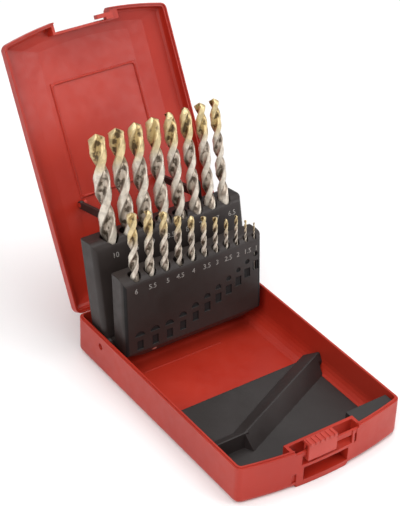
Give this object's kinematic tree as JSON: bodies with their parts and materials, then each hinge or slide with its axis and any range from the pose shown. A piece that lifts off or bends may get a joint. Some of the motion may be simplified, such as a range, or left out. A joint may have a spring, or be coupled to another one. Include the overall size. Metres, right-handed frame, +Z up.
{
  "type": "drill bit case",
  "caption": "Hinged flat case that stands its twist drills up in two tilting racks when the lid opens, with a tray insert and a sliding latch.",
  "frame": {"origin": "middle of the base's flat underside, centred between its side walls and between the hinge end and the corners of the latch end", "axes": "+Z up from the underside; -Y towards the latch end and +Y towards the hinge end; +X to the right for someone who faces the latch"},
  "size_m": [0.113, 0.262, 0.1755],
  "materials": {
    "red_shell": "satin moulded plastic",
    "red_latch": "satin moulded plastic",
    "black_plastic": "fine satin moulded plastic",
    "pin_steel": "bright drawn steel",
    "drill_steel": "ground steel with gold coloured coated points"
  },
  "bodies": {
    "base": {"base_shell": "red_shell", "tray_insert": "black_plastic", "hinge_pin": "pin_steel", "rack_axle": "pin_steel"},
    "lid": {"lid_shell": "red_shell"},
    "latch": {"latch_slider": "red_latch"},
    "front_rack": {"front_rack": "black_plastic"},
    "rear_rack": {"rear_rack": "black_plastic"},
    "link_left": {"link_arm_left": "black_plastic"},
    "link_right": {"link_arm_right": "black_plastic"},
    "drill_10": {"drill_10": "drill_steel"},
    "drill_9_5": {"drill_9_5": "drill_steel"},
    "drill_9": {"drill_9": "drill_steel"},
    "drill_8_5": {"drill_8_5": "drill_steel"},
    "drill_8": {"drill_8": "drill_steel"},
    "drill_7_5": {"drill_7_5": "drill_steel"},
    "drill_7": {"drill_7": "drill_steel"},
    "drill_6_5": {"drill_6_5": "drill_steel"},
    "drill_6": {"drill_6": "drill_steel"},
    "drill_5_5": {"drill_5_5": "drill_steel"},
    "drill_5": {"drill_5": "drill_steel"},
    "drill_4_5": {"drill_4_5": "drill_steel"},
    "drill_4": {"drill_4": "drill_steel"},
    "drill_3_5": {"drill_3_5": "drill_steel"},
    "drill_3": {"drill_3": "drill_steel"},
    "drill_2_5": {"drill_2_5": "drill_steel"},
    "drill_2": {"drill_2": "drill_steel"},
    "drill_1_5": {"drill_1_5": "drill_steel"},
    "drill_1": {"drill_1": "drill_steel"}
  },
  "joints": [
    {"name": "lid_hinge", "type": "hinge", "parent": "base", "child": "lid", "pos_m": [0, 0.0825, 0.0254], "axis": [-1, 0, 0], "range_deg": [-118.83, 0]},
    {"name": "front_rack_tilt", "type": "hinge", "parent": "base", "child": "front_rack", "pos_m": [0, 0.0563, 0.0184], "axis": [-1, 0, 0], "range_deg": [-91, 0]},
    {"name": "rear_rack_tilt", "type": "hinge", "parent": "base", "child": "rear_rack", "pos_m": [0, 0.0563, 0.0184], "axis": [-1, 0, 0], "range_deg": [-103, 0]},
    {"name": "link_left_swing", "type": "hinge", "parent": "lid", "child": "link_left", "pos_m": [-0.03157, 0.11829, 0.0759], "axis": [1, 0, 0], "range_deg": [-103.6, 0]},
    {"name": "link_right_swing", "type": "hinge", "parent": "lid", "child": "link_right", "pos_m": [0.02728, 0.11829, 0.0759], "axis": [1, 0, 0], "range_deg": [-103.6, 0]},
    {"name": "latch_slide", "type": "slide", "parent": "base", "child": "latch", "axis": [1, 0, 0], "range_m": [0, 0.008]},
    {"name": "drill_10_lift", "type": "slide", "parent": "rear_rack", "child": "drill_10", "axis": [0, 0.225, 0.9744], "range_m": [0, 0.0643]},
    {"name": "drill_9_5_lift", "type": "slide", "parent": "rear_rack", "child": "drill_9_5", "axis": [0, 0.225, 0.9744], "range_m": [0, 0.0643]},
    {"name": "drill_9_lift", "type": "slide", "parent": "rear_rack", "child": "drill_9", "axis": [0, 0.225, 0.9744], "range_m": [0, 0.0643]},
    {"name": "drill_8_5_lift", "type": "slide", "parent": "rear_rack", "child": "drill_8_5", "axis": [0, 0.225, 0.9744], "range_m": [0, 0.0563]},
    {"name": "drill_8_lift", "type": "slide", "parent": "rear_rack", "child": "drill_8", "axis": [0, 0.225, 0.9744], "range_m": [0, 0.0563]},
    {"name": "drill_7_5_lift", "type": "slide", "parent": "rear_rack", "child": "drill_7_5", "axis": [0, 0.225, 0.9744], "range_m": [0, 0.0483]},
    {"name": "drill_7_lift", "type": "slide", "parent": "rear_rack", "child": "drill_7", "axis": [0, 0.225, 0.9744], "range_m": [0, 0.0483]},
    {"name": "drill_6_5_lift", "type": "slide", "parent": "rear_rack", "child": "drill_6_5", "axis": [0, 0.225, 0.9744], "range_m": [0, 0.0403]},
    {"name": "drill_6_lift", "type": "slide", "parent": "front_rack", "child": "drill_6", "axis": [0, 0.0785, 0.9969], "range_m": [0, 0.0545]},
    {"name": "drill_5_5_lift", "type": "slide", "parent": "front_rack", "child": "drill_5_5", "axis": [0, 0.0785, 0.9969], "range_m": [0, 0.0564]},
    {"name": "drill_5_lift", "type": "slide", "parent": "front_rack", "child": "drill_5", "axis": [0, 0.0785, 0.9969], "range_m": [0, 0.0534]},
    {"name": "drill_4_5_lift", "type": "slide", "parent": "front_rack", "child": "drill_4_5", "axis": [0, 0.0785, 0.9969], "range_m": [0, 0.0532]},
    {"name": "drill_4_lift", "type": "slide", "parent": "front_rack", "child": "drill_4", "axis": [0, 0.0785, 0.9969], "range_m": [0, 0.0513]},
    {"name": "drill_3_5_lift", "type": "slide", "parent": "front_rack", "child": "drill_3_5", "axis": [0, 0.0785, 0.9969], "range_m": [0, 0.0492]},
    {"name": "drill_3_lift", "type": "slide", "parent": "front_rack", "child": "drill_3", "axis": [0, 0.0785, 0.9969], "range_m": [0, 0.0432]},
    {"name": "drill_2_5_lift", "type": "slide", "parent": "front_rack", "child": "drill_2_5", "axis": [0, 0.0785, 0.9969], "range_m": [0, 0.0431]},
    {"name": "drill_2_lift", "type": "slide", "parent": "front_rack", "child": "drill_2", "axis": [0, 0.0785, 0.9969], "range_m": [0, 0.0349]},
    {"name": "drill_1_5_lift", "type": "slide", "parent": "front_rack", "child": "drill_1_5", "axis": [0, 0.0785, 0.9969], "range_m": [0, 0.0312]},
    {"name": "drill_1_lift", "type": "slide", "parent": "front_rack", "child": "drill_1", "axis": [0, 0.0785, 0.9969], "range_m": [0, 0.0287]}
  ],
  "couplings": [
    {"joint": "front_rack_tilt", "follows": "lid_hinge", "ratio": 0.7658},
    {"joint": "rear_rack_tilt", "follows": "lid_hinge", "ratio": 0.8667},
    {"joint": "link_left_swing", "follows": "lid_hinge", "ratio": 0.8718},
    {"joint": "link_right_swing", "follows": "lid_hinge", "ratio": 0.8718}
  ]
}
